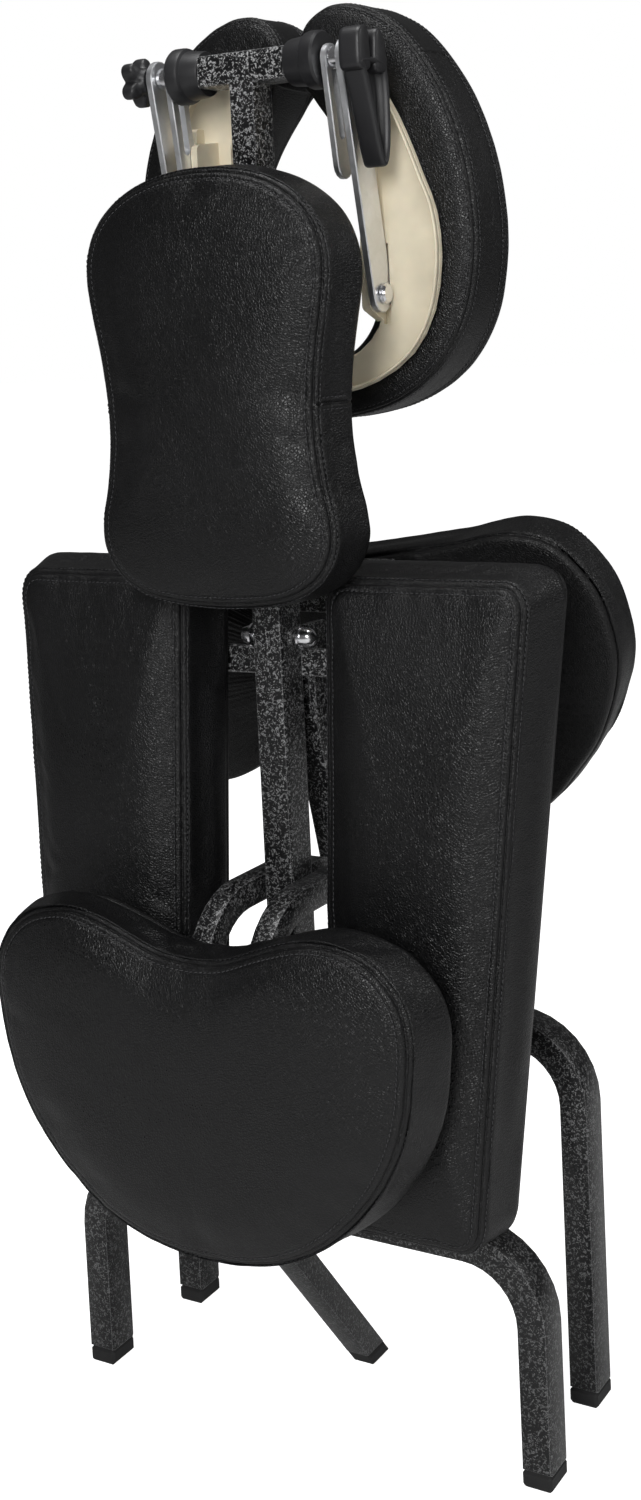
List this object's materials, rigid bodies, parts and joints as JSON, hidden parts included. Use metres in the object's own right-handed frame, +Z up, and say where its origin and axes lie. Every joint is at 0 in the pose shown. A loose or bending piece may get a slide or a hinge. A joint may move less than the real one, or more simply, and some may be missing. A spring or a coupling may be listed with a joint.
{
  "type": "kneeling massage chair",
  "caption": "Folding kneeling massage chair, shown folded upright, with padded seat, knee, chest, arm and face rests on a steel tube frame.",
  "frame": {"origin": "on the floor under the middle of the folded chair's width and depth", "axes": "+Z up along the mast, +X to the side, -Y towards the side the sitter uses"},
  "size_m": [0.5202, 0.369, 1.207],
  "materials": {
    "hammertone_steel": "silver-vein hammertone powder coat",
    "black_vinyl": "grained vinyl",
    "black_board": "vinyl-backed board",
    "black_plastic": "matte",
    "black_rubber": "matte",
    "cream_plastic": "satin",
    "aluminium_bar": "brushed",
    "chrome_hardware": "polished"
  },
  "bodies": {
    "main_frame": {"main_frame": "hammertone_steel", "front_foot_cap_left": "black_rubber", "front_foot_cap_right": "black_rubber", "knee_pad_left": "black_vinyl", "knee_pad_right": "black_vinyl", "knee_board_left": "black_board", "knee_board_right": "black_board", "apex_bolt": "chrome_hardware", "seat_pivot_shaft": "chrome_hardware", "armrest_pivot_pin": "chrome_hardware", "mast_collar": "black_plastic"},
    "rear_legs": {"rear_leg_frame": "hammertone_steel", "rear_foot_cap_left": "black_rubber", "rear_foot_cap_right": "black_rubber"},
    "seat": {"seat_fork": "hammertone_steel", "seat_board": "black_board", "seat_pad": "black_vinyl", "strut_pivot_pin": "chrome_hardware"},
    "seat_strut": {"seat_strut": "hammertone_steel", "strut_foot_cap": "black_rubber"},
    "armrest": {"armrest_bracket": "hammertone_steel", "armrest_board": "black_board", "armrest_pad": "black_vinyl"},
    "chest_rest": {"chest_bracket": "hammertone_steel", "chest_board": "black_board", "chest_pad": "black_vinyl"},
    "chest_lock_knob": {"chest_lock_knob": "black_plastic"},
    "head_post": {"head_post": "hammertone_steel", "tbar_bushing_left": "black_plastic", "tbar_bushing_right": "black_plastic", "cradle_clamp_rod": "chrome_hardware"},
    "head_lock_pin": {"head_lock_pin": "black_plastic"},
    "face_cradle": {"cradle_arm_left": "aluminium_bar", "cradle_arm_right": "aluminium_bar", "cradle_link_left": "aluminium_bar", "cradle_link_right": "aluminium_bar", "cradle_base": "cream_plastic", "face_cushion": "black_vinyl", "cradle_bolt_left": "chrome_hardware", "cradle_bolt_right": "chrome_hardware", "rod_washer_left": "chrome_hardware", "rod_washer_right": "chrome_hardware"},
    "cam_lever": {"cam_lever": "black_plastic"},
    "star_knob": {"cradle_star_knob": "black_plastic"}
  },
  "joints": [
    {"name": "rear_leg_fold", "type": "hinge", "parent": "main_frame", "child": "rear_legs", "pos_m": [0, -0.0175, 0.682], "axis": [1, 0, 0], "range_deg": [0, 80]},
    {"name": "armrest_fold", "type": "hinge", "parent": "main_frame", "child": "armrest", "pos_m": [0, 0.0465, 0.752], "axis": [1, 0, 0], "range_deg": [0, 84]},
    {"name": "seat_lift", "type": "hinge", "parent": "main_frame", "child": "seat", "pos_m": [0, 0.0145, 0.468], "axis": [-1, 0, 0], "range_deg": [0, 35]},
    {"name": "strut_swing", "type": "hinge", "parent": "seat", "child": "seat_strut", "pos_m": [0, -0.1135, 0.241], "axis": [1, 0, 0], "range_deg": [0, 35]},
    {"name": "chest_height", "type": "slide", "parent": "main_frame", "child": "chest_rest", "axis": [0, 0, 1], "range_m": [0, 0.06]},
    {"name": "chest_lock_turn", "type": "hinge", "parent": "chest_rest", "child": "chest_lock_knob", "pos_m": [0, 0.0125, 0.89], "axis": [0, 1, 0], "continuous": true},
    {"name": "head_height", "type": "slide", "parent": "main_frame", "child": "head_post", "axis": [0, 0, 1], "range_m": [0, 0.1]},
    {"name": "head_lock_pull", "type": "slide", "parent": "main_frame", "child": "head_lock_pin", "axis": [1, 0, 0], "range_m": [0, 0.008]},
    {"name": "cradle_swing", "type": "hinge", "parent": "head_post", "child": "face_cradle", "pos_m": [0, -0.018, 1.151], "axis": [1, 0, 0], "range_deg": [0, 150]},
    {"name": "cam_lever_flip", "type": "hinge", "parent": "head_post", "child": "cam_lever", "pos_m": [0.104, -0.018, 1.165], "axis": [0, -1, 0], "range_deg": [0, 90]},
    {"name": "star_knob_turn", "type": "hinge", "parent": "head_post", "child": "star_knob", "pos_m": [-0.108, -0.018, 1.151], "axis": [-1, 0, 0], "continuous": true}
  ],
  "couplings": [
    {"joint": "armrest_fold", "follows": "rear_leg_fold", "ratio": 1.05},
    {"joint": "strut_swing", "follows": "seat_lift", "ratio": 1}
  ]
}
